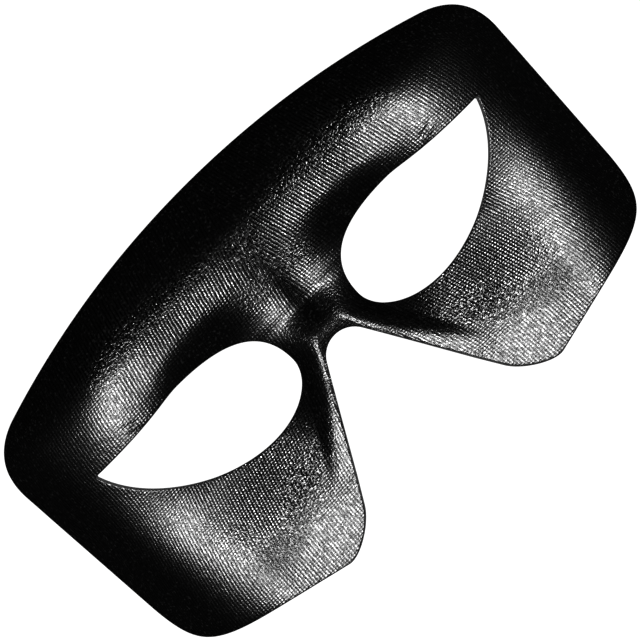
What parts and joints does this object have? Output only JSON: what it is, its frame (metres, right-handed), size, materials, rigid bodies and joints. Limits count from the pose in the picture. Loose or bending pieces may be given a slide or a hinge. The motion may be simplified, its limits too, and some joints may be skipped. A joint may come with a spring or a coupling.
{
  "type": "masquerade mask",
  "caption": "Black satin half mask that covers the brow, the eyes and the cheeks, with pointed eye holes and a notch for the nose.",
  "frame": {"origin": "middle of the mask's outline, on the plane that its two side rims rest on", "axes": "+X across the face, to the wearer's left; +Y towards the forehead; +Z out of the front"},
  "size_m": [0.18, 0.1033, 0.0444],
  "materials": {
    "black_satin": "satin"
  },
  "bodies": {
    "root": {"mask_shell": "black_satin"}
  },
  "joints": []
}
